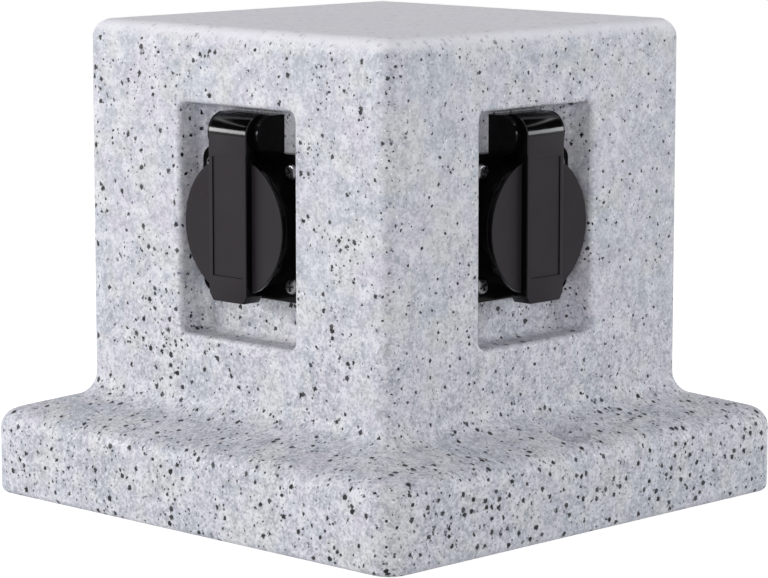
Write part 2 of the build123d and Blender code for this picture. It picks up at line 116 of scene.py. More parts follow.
class NodeSheet:
    """A node tree with short ways to add and join nodes."""

    columns: int = 12
    column_step: int = 200
    row_step: int = -260

    def __init__(self, tree: bpy.types.NodeTree) -> None:
        """Wraps a tree.

        Args:
            tree: the material's, world's or group's node tree.
        """
        self.tree = tree
        self.count = 0

    def add(self, kind: str, **settings: object) -> bpy.types.Node:
        """Adds one node.

        Args:
            kind: the node's type name.
            settings: properties to set on it.

        Returns:
            The new node.
        """
        node = self.tree.nodes.new(kind)
        self.count += 1
        row, column = divmod(self.count, self.columns)
        node.location = (self.column_step * column, self.row_step * row)
        for name, value in settings.items():
            setattr(node, name, value)
        return node

    def join(self, source: Socket, target: Socket) -> None:
        """Links two sockets."""
        self.tree.links.new(source, target)

    def feed(self, target: Socket, value: object) -> None:
        """Links a socket to a target, or sets the target's plain value.

        Args:
            target: the input to fill.
            value: a socket or a plain value.
        """
        if isinstance(value, Socket):
            self.join(value, target)
        else:
            target.default_value = value

    def maths(self, operation: str, first: object, second: object, clamp: bool = False) -> Socket:
        """Adds a maths node and returns its result.

        Args:
            operation: the maths operation's name.
            first: a socket or number.
            second: a socket or number.
            clamp: whether the result is kept between 0 and 1.

        Returns:
            The result's socket.
        """
        node = self.add("ShaderNodeMath", operation=operation, use_clamp=clamp)
        self.feed(node.inputs[0], first)
        self.feed(node.inputs[1], second)
        return node.outputs[0]

    def times(self, first: object, second: object) -> Socket:
        """One value times another."""
        return self.maths("MULTIPLY", first, second)

    def blend(self, share: object, low: object, high: object) -> Socket:
        """Mixes two colours.

        Args:
            share: how much of the second colour shows.
            low: the first colour.
            high: the second colour.

        Returns:
            The mixed colour's socket.
        """
        node = self.add("ShaderNodeMix", data_type="RGBA")
        self.feed(node.inputs[MIX_SHARE], share)
        self.feed(node.inputs[MIX_FIRST], low)
        self.feed(node.inputs[MIX_SECOND], high)
        return node.outputs[MIX_RESULT]

    def mix_shaders(self, share: Socket, first: Socket, second: Socket, target: Socket) -> None:
        """Mixes two shaders and links the mix.

        Args:
            share: how much of the second shader shows.
            first: the first shader.
            second: the second shader.
            target: the input that the mix goes to.
        """
        mix = self.add("ShaderNodeMixShader")
        for source, inlet in zip((share, first, second), mix.inputs):
            self.join(source, inlet)
        self.join(mix.outputs[0], target)

    def spread(self, value: object, ramp: Ramp) -> Socket:
        """Maps a value smoothly from one range to another.

        Args:
            value: the socket to map.
            ramp: both ranges.

        Returns:
            The mapped value's socket.
        """
        node = self.add("ShaderNodeMapRange", interpolation_type="SMOOTHSTEP")
        self.feed(node.inputs["Value"], value)
        for label, edge in zip(("From Min", "From Max", "To Min", "To Max"), ramp):
            node.inputs[label].default_value = edge
        return node.outputs["Result"]

    def noise(
        self, vector: object, size: float, detail: float = 3.0, rough: float = 0.55,
    ) -> bpy.types.Node:
        """Adds a noise whose features are about one size.

        Args:
            vector: the coordinates.
            size: the size of a feature, in metres.
            detail: how many finer layers it has.
            rough: how strong the finer layers are.

        Returns:
            The noise node.
        """
        node = self.add("ShaderNodeTexNoise")
        self.feed(node.inputs["Vector"], vector)
        node.inputs["Scale"].default_value = 1.0 / size
        node.inputs["Detail"].default_value = detail
        node.inputs["Roughness"].default_value = rough
        return node

    def bumps(self, height: Socket, strength: float, distance: float, target: Socket) -> None:
        """Turns a height into bumps and links them.

        Args:
            height: the height's socket.
            strength: how strong the bumps are.
            distance: how deep they go, in metres.
            target: the shader's normal input.
        """
        bump = self.add("ShaderNodeBump")
        bump.inputs["Strength"].default_value = strength
        bump.inputs["Distance"].default_value = distance
        self.join(height, bump.inputs["Height"])
        self.join(bump.outputs[0], target)

    def seen_directly(self) -> Socket:
        """A mask of what the camera sees straight, mirrored or through something clear.

        Returns:
            The mask's socket.
        """
        path = self.add("ShaderNodeLightPath")
        seen = self.maths("MAXIMUM", path.outputs["Is Camera Ray"], path.outputs["Is Glossy Ray"])
        return self.maths("MAXIMUM", seen, path.outputs["Is Transmission Ray"])


def new_group(
    name: str, inputs: Sequence[Tuple[str, str, object]], outputs: Sequence[Tuple[str, str]],
) -> Tuple[NodeSheet, bpy.types.Node, bpy.types.Node]:
    """Makes an empty shader node group with named sockets.

    Args:
        name: the group's name.
        inputs: each input's name, socket type and plain value.
        outputs: each output's name and socket type.

    Returns:
        The group's sheet, its input node and its output node.
    """
    tree = bpy.data.node_groups.new(name, "ShaderNodeTree")
    for label, kind, value in inputs:
        made = tree.interface.new_socket(name=label, in_out="INPUT", socket_type=kind)
        if value is not None:
            made.default_value = value
    for label, kind in outputs:
        tree.interface.new_socket(name=label, in_out="OUTPUT", socket_type=kind)
    sheet = NodeSheet(tree)
    return sheet, sheet.add("NodeGroupInput"), sheet.add("NodeGroupOutput")


@dataclass
class Effects:
    """The surface effects that several materials share, each a node group."""

    wobble_size: float = 0.9 * MM
    chip_sizes: Ramp = Ramp(0.0, 1.0, 0.22, 1.0)
    chip_size_power: float = 0.75
    chip_edge: float = 0.25
    crowd_size: float = 13 * MM
    crowding: Ramp = Ramp(0.38, 0.60, 0.50, 1.0)
    uneven_size: float = 9 * MM
    dust_size: float = 5 * MM
    dust_patches: Ramp = Ramp(0.35, 0.7, 0.2, 1.0)
    facing_up: Ramp = Ramp(0.3, 1.0)

    def __post_init__(self) -> None:
        """Builds the groups once."""
        self.specks = self.make_specks()
        self.grain = self.make_grain()
        self.dust = self.make_dust()

    def wobbled(self, sheet: NodeSheet, vector: Socket, reach: Socket) -> Socket:
        """Coordinates that wander a little, so that outlines get ragged.

        Args:
            sheet: the group's sheet.
            vector: the coordinates.
            reach: how far they wander, in metres.

        Returns:
            The wandering coordinates' socket.
        """
        wobble = sheet.noise(vector, self.wobble_size, 2.0)
        centred = sheet.add("ShaderNodeVectorMath", operation="SUBTRACT")
        sheet.join(wobble.outputs["Color"], centred.inputs[0])
        centred.inputs[1].default_value = (0.5, 0.5, 0.5)
        scaled = sheet.add("ShaderNodeVectorMath", operation="SCALE")
        sheet.join(centred.outputs[0], scaled.inputs[0])
        sheet.join(reach, scaled.inputs["Scale"])
        moved = sheet.add("ShaderNodeVectorMath", operation="ADD")
        sheet.join(vector, moved.inputs[0])
        sheet.join(scaled.outputs[0], moved.inputs[1])
        return moved.outputs[0]

    def make_specks(self) -> bpy.types.NodeTree:
        """Scattered chips of one kind, with ragged outlines and mixed sizes.

        Returns:
            The group, which puts out a mask and a random value for each chip.
        """
        sheet, given, out = new_group(
            "scattered_specks",
            [("Vector", "NodeSocketVector", None), ("Scale", "NodeSocketFloat", 200.0),
             ("Size", "NodeSocketFloat", 0.2), ("Share", "NodeSocketFloat", 0.5),
             ("Ragged", "NodeSocketFloat", 0.0004)],
            [("Mask", "NodeSocketFloat"), ("Random", "NodeSocketFloat")])
        vector = given.outputs["Vector"]
        cells = sheet.add("ShaderNodeTexVoronoi")
        sheet.join(self.wobbled(sheet, vector, given.outputs["Ragged"]), cells.inputs["Vector"])
        sheet.join(given.outputs["Scale"], cells.inputs["Scale"])
        draws = sheet.add("ShaderNodeSeparateColor")
        sheet.join(cells.outputs["Color"], draws.inputs[0])
        spread_sizes = sheet.spread(draws.outputs["Red"], self.chip_sizes)
        portion = sheet.maths("POWER", spread_sizes, self.chip_size_power)
        size = sheet.times(given.outputs["Size"], portion)
        depth = sheet.maths("SUBTRACT", size, cells.outputs["Distance"])
        edge = sheet.maths("DIVIDE", depth, sheet.times(size, self.chip_edge), clamp=True)
        crowds = sheet.noise(vector, self.crowd_size, 2.0).outputs["Fac"]
        share = sheet.times(given.outputs["Share"], sheet.spread(crowds, self.crowding))
        there = sheet.maths("LESS_THAN", draws.outputs["Green"], share)
        sheet.join(sheet.times(edge, there), out.inputs["Mask"])
        sheet.join(draws.outputs["Blue"], out.inputs["Random"])
        return sheet.tree

    def make_grain(self) -> bpy.types.NodeTree:
        """The fine skin of a moulded plastic or rubber.

        Returns:
            The group, which puts out a height and an unevenness around zero.
        """
        sheet, given, out = new_group(
            "moulded_grain",
            [("Vector", "NodeSocketVector", None), ("Scale", "NodeSocketFloat", 3000.0)],
            [("Height", "NodeSocketFloat"), ("Unevenness", "NodeSocketFloat")])
        fine = sheet.add("ShaderNodeTexNoise")
        sheet.join(given.outputs["Vector"], fine.inputs["Vector"])
        sheet.join(given.outputs["Scale"], fine.inputs["Scale"])
        fine.inputs["Detail"].default_value = 2.0
        broad = sheet.noise(given.outputs["Vector"], self.uneven_size)
        sheet.join(fine.outputs["Fac"], out.inputs["Height"])
        sheet.join(sheet.maths("SUBTRACT", broad.outputs["Fac"], 0.5), out.inputs["Unevenness"])
        return sheet.tree

    def make_dust(self) -> bpy.types.NodeTree:
        """A thin dust that lies on faces that look up.

        Returns:
            The group, which puts out a mask.
        """
        sheet, given, out = new_group(
            "settled_dust",
            [("Vector", "NodeSocketVector", None), ("Normal", "NodeSocketVector", None),
             ("Amount", "NodeSocketFloat", 0.2)],
            [("Mask", "NodeSocketFloat")])
        parts = sheet.add("ShaderNodeSeparateXYZ")
        sheet.join(given.outputs["Normal"], parts.inputs[0])
        upward = sheet.spread(parts.outputs["Z"], self.facing_up)
        noise = sheet.noise(given.outputs["Vector"], self.dust_size, 5.0)
        patches = sheet.spread(noise.outputs["Fac"], self.dust_patches)
        mask = sheet.times(sheet.times(upward, patches), given.outputs["Amount"])
        sheet.join(mask, out.inputs["Mask"])
        return sheet.tree

    def place(
        self, sheet: NodeSheet, group: bpy.types.NodeTree, **values: object,
    ) -> bpy.types.Node:
        """Puts a group in a material.

        Args:
            sheet: the material's sheet.
            group: one of the groups above.
            values: each input's socket or plain value.

        Returns:
            The group's node.
        """
        node = sheet.add("ShaderNodeGroup")
        node.node_tree = group
        for name, value in values.items():
            sheet.feed(node.inputs[name], value)
        return node


def new_material(
    name: str,
) -> Tuple[bpy.types.Material, NodeSheet, bpy.types.Node, bpy.types.Node]:
    """Makes a material with a Principled shader.

    Args:
        name: the material's name.

    Returns:
        The material, its sheet, its shader node and its coordinates node.
    """
    material = bpy.data.materials.new(name)
    material.use_nodes = True
    sheet = NodeSheet(material.node_tree)
    shader = material.node_tree.nodes["Principled BSDF"]
    return material, sheet, shader, sheet.add("ShaderNodeTexCoord")


def new_dull_material(
    name: str, grain: float, darker: float, lighter: float, roughness: float,
) -> Tuple[bpy.types.Material, NodeSheet, bpy.types.Node]:
    """Makes a grey studio material without shine.

    Args:
        name: the material's name.
        grain: the size of its tone's patches, in metres.
        darker: its darkest grey.
        lighter: its lightest grey.
        roughness: how rough it is.

    Returns:
        The material, its sheet and its shader node.
    """
    material, sheet, shader, coords = new_material(name)
    tone = sheet.noise(coords.outputs["Object"], grain, 2.0).outputs["Fac"]
    colour = sheet.blend(tone, rgba(darker, darker, darker), rgba(lighter, lighter, lighter))
    sheet.join(colour, shader.inputs["Base Color"])
    shader.inputs["Roughness"].default_value = roughness
    shader.inputs["Specular IOR Level"].default_value = 0.0
    return material, sheet, shader


@dataclass(frozen=True)
class Grains:
    """One kind of chip scattered through the granite effect."""

    colour: Colour
    scale: float
    size: float
    share: float
    ragged: float
    faintest: float
    strongest: float


@dataclass(frozen=True)
class Mottle:
    """One size of mottling: pale where its noise is high and shaded where it is low."""

    size: float
    detail: float
    rough: float
    pale_share: float
    shade_share: float


@dataclass(frozen=True)
class GraniteFinish:
    """The light grey granite effect of the housing."""

    name: str = "granite_effect"
    cool: Colour = rgba(0.465, 0.492, 0.553)
    warm: Colour = rgba(0.570, 0.543, 0.612)
    cream: Colour = rgba(0.580, 0.588, 0.585)
    pale: Colour = rgba(0.735, 0.735, 0.775)
    shade: Colour = rgba(0.315, 0.335, 0.385)
    # A paler tone laid on the flat top: painted light that makes the top face read brighter.
    crown_painted_light: Colour = rgba(0.860, 0.845, 0.900)
    grains: Tuple[Grains, ...] = (
        Grains(rgba(0.900, 0.905, 0.910), 640.0, 0.270, 0.50, 0.0006, 0.2, 0.95),
        Grains(rgba(0.090, 0.090, 0.120), 300.0, 0.240, 0.70, 0.0010, 0.25, 0.75),
        Grains(rgba(0.006, 0.006, 0.010), 480.0, 0.285, 1.00, 0.0008, 0.55, 1.0),
        Grains(rgba(0.001, 0.001, 0.002), 290.0, 0.340, 1.00, 0.0016, 0.92, 1.0),
    )
    mottles: Tuple[Mottle, ...] = (
        Mottle(3.2 * MM, 2.0, 0.5, 0.40, 0.40),
        Mottle(1.7 * MM, 3.0, 0.6, 0.55, 0.62),
        Mottle(0.85 * MM, 2.0, 0.5, 0.52, 0.46),
    )
    pale_from: float = 0.52
    pale_full: float = 0.66
    shade_from: float = 0.47
    shade_full: float = 0.34
    cloud_size: float = 20 * MM
    clouds: Ramp = Ramp(0.38, 0.62)
    drift_size: float = 15 * MM
    drifts: Ramp = Ramp(0.47, 0.64, 0.0, 0.85)
    patch_size: float = 6.0 * MM
    pale_patches: Ramp = Ramp(0.48, 0.68, 0.0, 0.75)
    shade_patches: Ramp = Ramp(0.46, 0.28, 0.0, 0.65)
    coarseness: Ramp = Ramp(45 * MM, 110 * MM, 1.0, 0.66)
    # The band of the flat top, where the painted light is laid and fewer chips show.
    crown_painted_light_rise: Ramp = Ramp(162.5 * MM, 166.5 * MM)
    crown_painted_light_share: float = 0.78
    crown_painted_light_hides: float = 0.80
    specular: float = 0.25
    roughness: float = 0.5
    uneven_share: float = 0.3
    grain_scale: float = 1500.0
    grain_share: float = 0.3
    bump_strength: float = 0.25
    bump_depth: float = 0.25 * MM

    def make(self, effects: Effects) -> bpy.types.Material:
        """Builds the material.

        Args:
            effects: the shared effects.

        Returns:
            The material.
        """
        material, sheet, shader, coords = new_material(self.name)
        at = coords.outputs["Object"]
        parts = sheet.add("ShaderNodeSeparateXYZ")
        sheet.join(at, parts.inputs[0])
        height = parts.outputs["Z"]
        patches = sheet.noise(at, self.patch_size, 4.0, 0.6).outputs["Fac"]
        colour = self.paint_ground(sheet, at, patches)
        colour = self.paint_mottles(sheet, at, sheet.spread(height, self.coarseness), colour)
        # Painted light: the flat top is blended towards the paler crown tone so that it reads
        # brighter, and the same band thins the chips.
        crown_painted_light = sheet.spread(height, self.crown_painted_light_rise)
        colour = sheet.blend(sheet.times(crown_painted_light, self.crown_painted_light_share), colour, self.crown_painted_light)
        kept = sheet.maths("SUBTRACT", 1.0, sheet.times(crown_painted_light, self.crown_painted_light_hides))
        sheet.join(self.paint_chips(sheet, effects, at, kept, colour), shader.inputs["Base Color"])
        shader.inputs["Specular IOR Level"].default_value = self.specular
        grain = effects.place(sheet, effects.grain, Vector=at, Scale=self.grain_scale)
        uneven = sheet.times(grain.outputs["Unevenness"], self.uneven_share)
        sheet.join(sheet.maths("ADD", self.roughness, uneven), shader.inputs["Roughness"])
        skin = sheet.maths("ADD", patches, sheet.times(grain.outputs["Height"], self.grain_share))
        sheet.bumps(skin, self.bump_strength, self.bump_depth, shader.inputs["Normal"])
        return material

    def paint_ground(self, sheet: NodeSheet, at: Socket, patches: Socket) -> Socket:
        """Paints the broad tones: clouds, drifts of cream and patches.

        Args:
            sheet: the material's sheet.
            at: the coordinates.
            patches: the patches' noise.

        Returns:
            The colour's socket.
        """
        clouds = sheet.noise(at, self.cloud_size, 4.0).outputs["Fac"]
        colour = sheet.blend(sheet.spread(clouds, self.clouds), self.cool, self.warm)
        drift = sheet.add("ShaderNodeSeparateColor")
        sheet.join(sheet.noise(at, self.drift_size).outputs["Color"], drift.inputs[0])
        colour = sheet.blend(sheet.spread(drift.outputs["Green"], self.drifts), colour, self.cream)
        colour = sheet.blend(sheet.spread(patches, self.pale_patches), colour, self.pale)
        return sheet.blend(sheet.spread(patches, self.shade_patches), colour, self.shade)

    def paint_mottles(self, sheet: NodeSheet, at: Socket, coarse: Socket, colour: Socket) -> Socket:
        """Paints the mottling, which is stronger low down.

        Args:
            sheet: the material's sheet.
            at: the coordinates.
            coarse: how strong it is.
            colour: the colour that it goes on.

        Returns:
            The colour's socket.
        """
        for mottle in self.mottles:
            pattern = sheet.noise(at, mottle.size, mottle.detail, mottle.rough).outputs["Fac"]
            pale = Ramp(self.pale_from, self.pale_full, 0.0, mottle.pale_share)
            shade = Ramp(self.shade_from, self.shade_full, 0.0, mottle.shade_share)
            for ramp, tone in ((pale, self.pale), (shade, self.shade)):
                share = sheet.times(sheet.spread(pattern, ramp), coarse)
                colour = sheet.blend(share, colour, tone)
        return colour

    def paint_chips(
        self, sheet: NodeSheet, effects: Effects, at: Socket, kept: Socket, colour: Socket,
    ) -> Socket:
        """Scatters the chips, one kind after another.

        Args:
            sheet: the material's sheet.
            effects: the shared effects.
            at: the coordinates.
            kept: how much of them shows.
            colour: the colour that they go on.

        Returns:
            The colour's socket.
        """
        for grains in self.grains:
            chips = effects.place(
                sheet, effects.specks, Vector=at, Scale=grains.scale, Size=grains.size,
                Share=grains.share, Ragged=grains.ragged)
            strengths = Ramp(0.0, 1.0, grains.faintest, grains.strongest)
            strength = sheet.times(sheet.spread(chips.outputs["Random"], strengths), kept)
            mask = sheet.times(chips.outputs["Mask"], strength)
            colour = sheet.blend(mask, colour, grains.colour)
        return colour


@dataclass(frozen=True)
class PlasticFinish:
    """A moulded plastic or rubber."""

    name: str
    colour: Colour
    sheen: Sheen
    grain_scale: float = 2600.0
    grain_depth: float = 0.03 * MM
    dust: float = 0.10
    specular: float = 0.5
    dust_colour: Colour = rgba(0.30, 0.29, 0.28)
    dust_roughness: float = 0.4
    lift: float = 1.35
    lift_base: float = 0.001
    uneven_share: float = 0.22
    bump_strength: float = 0.35

    def make(self, effects: Effects) -> bpy.types.Material:
        """Builds the material.

        Args:
            effects: the shared effects.

        Returns:
            The material.
        """
        material, sheet, shader, coords = new_material(self.name)
        at = coords.outputs["Object"]
        grain = effects.place(sheet, effects.grain, Vector=at, Scale=self.grain_scale)
        dust = effects.place(
            sheet, effects.dust, Vector=at, Normal=coords.outputs["Normal"], Amount=self.dust)
        lighter = rgba(*(min(1.0, part * self.lift + self.lift_base) for part in self.colour[:3]))
        share = sheet.maths("ADD", grain.outputs["Unevenness"], 0.5, clamp=True)
        colour = sheet.blend(share, self.colour, lighter)
        colour = sheet.blend(dust.outputs["Mask"], colour, self.dust_colour)
        sheet.join(colour, shader.inputs["Base Color"])
        shader.inputs["Specular IOR Level"].default_value = self.specular
        uneven = sheet.times(grain.outputs["Unevenness"], self.uneven_share)
        rough = sheet.maths("ADD", self.sheen.value, uneven)
        dusty = sheet.times(dust.outputs["Mask"], self.dust_roughness)
        sheet.join(sheet.maths("ADD", rough, dusty, clamp=True), shader.inputs["Roughness"])
        sheet.bumps(
            grain.outputs["Height"], self.bump_strength, self.grain_depth, shader.inputs["Normal"])
        return material


@dataclass(frozen=True)
class MetalFinish:
    """A plain or plated metal."""

    name: str
    colour: Colour
    roughness: float
    grain_scale: float = 2200.0
    tarnish_size: float = 1.6 * MM
    tarnish: Ramp = Ramp(0.45, 0.75, 0.0, 0.55)
    tarnish_tone: float = 0.45
    tarnish_roughness: float = 0.25
    bump_strength: float = 0.3
    bump_depth: float = 0.02 * MM

    def make(self, effects: Effects) -> bpy.types.Material:
        """Builds the material.

        Args:
            effects: the shared effects.

        Returns:
            The material.
        """
        material, sheet, shader, coords = new_material(self.name)
        at = coords.outputs["Object"]
        grain = effects.place(sheet, effects.grain, Vector=at, Scale=self.grain_scale)
        noise = sheet.noise(at, self.tarnish_size, 4.0)
        tarnish = sheet.spread(noise.outputs["Fac"], self.tarnish)
        darker = rgba(*(part * self.tarnish_tone for part in self.colour[:3]))
        sheet.join(sheet.blend(tarnish, self.colour, darker), shader.inputs["Base Color"])
        shader.inputs["Metallic"].default_value = 1.0
        dulled = sheet.times(tarnish, self.tarnish_roughness)
        sheet.join(sheet.maths("ADD", self.roughness, dulled), shader.inputs["Roughness"])
        sheet.bumps(
            grain.outputs["Height"], self.bump_strength, self.bump_depth, shader.inputs["Normal"])
        return material


def dress(node: str, material: bpy.types.Material) -> None:
    """Gives a CAD node its material."""
    for slot in frame["nodes"][node].material_slots:
        slot.material = material


def clear_selection() -> None:
    """Deselects everything, in object mode."""
    if bpy.context.object and bpy.context.object.mode != "OBJECT":
        bpy.ops.object.mode_set(mode="OBJECT")
    bpy.ops.object.select_all(action="DESELECT")


def pick_only(piece: bpy.types.Object) -> None:
    """Selects one piece, in object mode, and makes it the active one.

    Args:
        piece: the piece.
    """
    clear_selection()
    piece.select_set(True)
    bpy.context.view_layer.objects.active = piece


def pick_faces(piece: bpy.types.Object, wanted: Callable[[bmesh.types.BMFace], bool]) -> int:
    """Selects faces in edit mode by a test.

    Args:
        piece: the object being edited.
        wanted: the test.

    Returns:
        How many were selected.
    """
    bpy.ops.mesh.select_mode(type="FACE")
    bpy.ops.mesh.select_all(action="DESELECT")
    work = bmesh.from_edit_mesh(piece.data)
    found = 0
    for face in work.faces:
        if wanted(face):
            face.select_set(True)
            found += 1
    bmesh.update_edit_mesh(piece.data)
    return found


def settle(piece: bpy.types.Object, bevel: float, angle: float, segments: int) -> None:
    """Puts the piece's place in its mesh, rounds its sharp edges and smooths its shading.

    Args:
        piece: the object.
        bevel: the rounding's width.
        angle: edges sharper than this are rounded, in degrees.
        segments: the steps of the rounding.
    """
    pick_only(piece)
    bpy.ops.object.transform_apply(location=True, rotation=True, scale=True)
    rounding = piece.modifiers.new("rounding", "BEVEL")
    rounding.width = bevel
    rounding.segments = segments
    rounding.limit_method = "ANGLE"
    rounding.angle_limit = math.radians(angle)
    bpy.ops.object.modifier_apply(modifier=rounding.name)
    bpy.ops.object.mode_set(mode="EDIT")
    bpy.ops.mesh.select_all(action="SELECT")
    bpy.ops.mesh.normals_make_consistent(inside=False)
    bpy.ops.object.mode_set(mode="OBJECT")
    bpy.ops.object.shade_smooth_by_angle(angle=SMOOTH_BELOW)


class LidFace(Enum):
    """The finish that a face of the lid takes, by its number."""

    PLAIN = 0
    MATT_FRONT = 1
    POLISHED = 2


@dataclass
class LidShell:
    """A lid: the disc, and the strap that curls over the hinge pin and ends in a grip."""

    disc_radius: float = 23.8 * MM
    disc_back: float = 7.2 * MM
    disc_front: float = 9.35 * MM
    disc_steps: int = 160
    rim_width: float = 0.9 * MM
    rim_step: float = 0.12 * MM
    back_rim_width: float = 1.6 * MM
    back_rim_step: float = 0.3 * MM
    disc_rounding: float = 0.38 * MM
    strap_half: float = 9.2 * MM
    strap_front: float = 11.85 * MM
    strap_bottom: float = -25.5 * MM
    toe_half: float = 7.4 * MM
    toe_top: float = -22.8 * MM
    grip_back: float = 4.25 * MM
    hinge_up: float = 30.9 * MM
    hinge_out: float = 4.85 * MM
    curl_degrees: float = 205.0
    curl_steps: int = 20
    rounding: float = 0.9 * MM
    inset_half: float = 6.8 * MM
    inset_bottom: float = -16.9 * MM
    inset_top: float = 23.5 * MM
    inset_depth: float = 0.4 * MM
    inset_draft: float = 0.12 * MM
    inset_least_area: float = 300 * MM * MM
    polished_rim: float = 0.55 * MM
    below_hinge: float = 0.2 * MM
    facing: float = 0.9
    facing_closely: float = 0.99
    facing_roughly: float = 0.85
    facing_aside: float = 0.97

    def build_disc(self) -> bpy.types.Object:
        """Turns the disc with its fine rim.

        Returns:
            The disc.
        """
        clear_selection()
        bpy.ops.mesh.primitive_cylinder_add(
            vertices=self.disc_steps, radius=self.disc_radius,
            depth=self.disc_front - self.disc_back,
            location=(0, 0, (self.disc_front + self.disc_back) / 2))
        disc = bpy.context.object
        pick_only(disc)
        bpy.ops.object.mode_set(mode="EDIT")
        pick_faces(disc, lambda face: face.normal.z > self.facing)
        bpy.ops.mesh.inset(thickness=self.rim_width, depth=0.0)
        bpy.ops.transform.translate(value=(0, 0, -self.rim_step))
        pick_faces(disc, lambda face: face.normal.z < -self.facing)
        bpy.ops.mesh.inset(thickness=self.back_rim_width, depth=0.0)
        bpy.ops.transform.translate(value=(0, 0, self.back_rim_step))
        settle(disc, self.disc_rounding, angle=50.0, segments=3)
        return disc

    def build_strap(self) -> bpy.types.Object:
        """Draws the strap up from its toe and curls it over the hinge pin.

        Returns:
            The strap.
        """
        clear_selection()
        middle = (self.strap_front + self.disc_back) / 2
        thickness = self.strap_front - self.disc_back
        bpy.ops.mesh.primitive_plane_add(
            size=1.0, location=(0, self.strap_bottom, middle), rotation=(math.radians(90), 0, 0))
        strap = bpy.context.object
        strap.scale = (2 * self.toe_half, thickness, 1.0)
        pick_only(strap)
        bpy.ops.object.transform_apply(location=True, rotation=True, scale=True)
        bpy.ops.object.mode_set(mode="EDIT")
        bpy.ops.mesh.select_all(action="SELECT")
        self.draw_up(self.toe_top - self.strap_bottom)
        bpy.ops.transform.resize(
            value=(self.strap_half / self.toe_half, 1, 1),
            center_override=(0, self.toe_top, middle))
        margin = self.strap_half - self.rounding - self.inset_half
        stops = (self.toe_top, self.inset_bottom - margin, self.inset_top + margin, self.hinge_up)
        for below, stop in zip(stops, stops[1:]):
            self.draw_up(stop - below)
        bpy.ops.mesh.spin(
            steps=self.curl_steps, angle=math.radians(self.curl_degrees),
            center=(0, self.hinge_up, self.hinge_out), axis=(1, 0, 0), dupli=False)
        bpy.ops.mesh.select_all(action="SELECT")
        bpy.ops.mesh.normals_make_consistent(inside=False)
        pick_faces(strap, self.under_toe)
        bpy.ops.mesh.extrude_region_move(
            TRANSFORM_OT_translate={"value": (0, 0, self.grip_back - self.disc_back)})
        settle(strap, self.rounding, angle=30.0, segments=4)
        return strap

    def draw_up(self, length: float) -> None:
        """Draws the strap's picked end further up."""
        bpy.ops.mesh.extrude_region_move(TRANSFORM_OT_translate={"value": (0, length, 0)})

    def under_toe(self, face: bmesh.types.BMFace) -> bool:
        """Whether a face of the strap lies at the back of its toe."""
        return face.normal.z < -self.facing and face.calc_center_median().y < self.toe_top

    def in_front(self, face: bmesh.types.BMFace) -> bool:
        """Whether a face is the strap's large front."""
        return face.normal.z > self.facing_closely and face.calc_area() > self.inset_least_area

    def sink_inset(self, strap: bpy.types.Object) -> None:
        """Sinks the plain inset panel in the strap's front.

        Args:
            strap: the strap.
        """
        pick_only(strap)
        bpy.ops.object.mode_set(mode="EDIT")
        LOG.info("inset faces picked: %d", pick_faces(strap, self.in_front))
        bpy.ops.mesh.inset(
            thickness=self.strap_half - self.rounding - self.inset_half, depth=0.0)
        bpy.ops.mesh.inset(thickness=self.inset_draft, depth=-self.inset_depth)
        bpy.ops.object.mode_set(mode="OBJECT")
        bpy.ops.object.shade_smooth_by_angle(angle=SMOOTH_BELOW)

    def build(self) -> bpy.types.Object:
        """Makes the whole lid in the socket's own frame.

        Returns:
            The lid.
        """
        disc = self.build_disc()
        strap = self.build_strap()
        self.sink_inset(strap)
        pick_only(disc)
        strap.select_set(True)
        bpy.ops.object.join()
        self.mark_faces(disc)
        return disc

    def mark_faces(self, lid: bpy.types.Object) -> None:
        """Numbers the faces by the finish that each takes.

        Args:
            lid: the whole lid.
        """
        for face in lid.data.polygons:
            below_knuckle = face.center.y < self.hinge_up - self.below_hinge
            rim = face.center.xy.length > self.disc_radius - self.polished_rim
            finish = LidFace.PLAIN
            if face.normal.z > self.facing_roughly and below_knuckle:
                finish = LidFace.MATT_FRONT
            elif (rim or not below_knuckle) and abs(face.normal.x) < self.facing_aside:
                finish = LidFace.POLISHED
            face.material_index = finish.value


def set_round(
    model: bpy.types.Object, part: str, body: Callable[[Side], str],
    materials: Sequence[bpy.types.Material],
) -> None:
    """Copies a piece to all four sides in place of the CAD's.

    Args:
        model: the piece in a socket's own frame.
        part: the node's name without its side.
        body: the body that the piece rides on, for a side.
        materials: the piece's finishes, in the order of its faces' numbers.
    """
    for side in Side:
        mesh = model.data.copy()
        mesh.transform(side.place)
        for material in materials:
            mesh.materials.append(material)
        piece = bpy.data.objects.new(f"{side.word}_{part}_shell", mesh)
        bpy.context.scene.collection.objects.link(piece)
        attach(piece, body(side))
        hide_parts(f"{side.word}_{part}")
        LOG.info("%s set in place", piece.name)
    bpy.data.objects.remove(model)


def around(azimuth: float, elevation: float, distance: float) -> Vector:
    """A place round the object.

    Args:
        azimuth: degrees from the front towards the right.
        elevation: degrees above the level of the object's middle.
        distance: from the middle of the object, in metres.

    Returns:
        The place.
    """
    turn, tilt = math.radians(azimuth), math.radians(elevation)
    level = distance * math.cos(tilt)
    out = Vector((level * math.sin(turn), -level * math.cos(turn), distance * math.sin(tilt)))
    return STUDIO_MIDDLE + out


@dataclass(frozen=True)
class Lamp:
    """A soft rectangular light that faces the object."""

    name: str
    place: Vector
    size: Tuple[float, float]
    power: float
    tint: Colour = WHITE
    mirrored: bool = True

    def hang(self) -> None:
        """Hangs the light in the scene."""
        light = bpy.data.lights.new(self.name, "AREA")
        light.color = self.tint[:3]
        light.shape = "RECTANGLE"
        light.size, light.size_y = self.size
        light.energy = self.power
        stand = bpy.data.objects.new(self.name, light)
        stand.location = self.place
        stand.rotation_mode = "QUATERNION"
        stand.rotation_quaternion = (STUDIO_MIDDLE - self.place).to_track_quat("-Z", "Y")
        stand.visible_glossy = self.mirrored
        bpy.context.scene.collection.objects.link(stand)


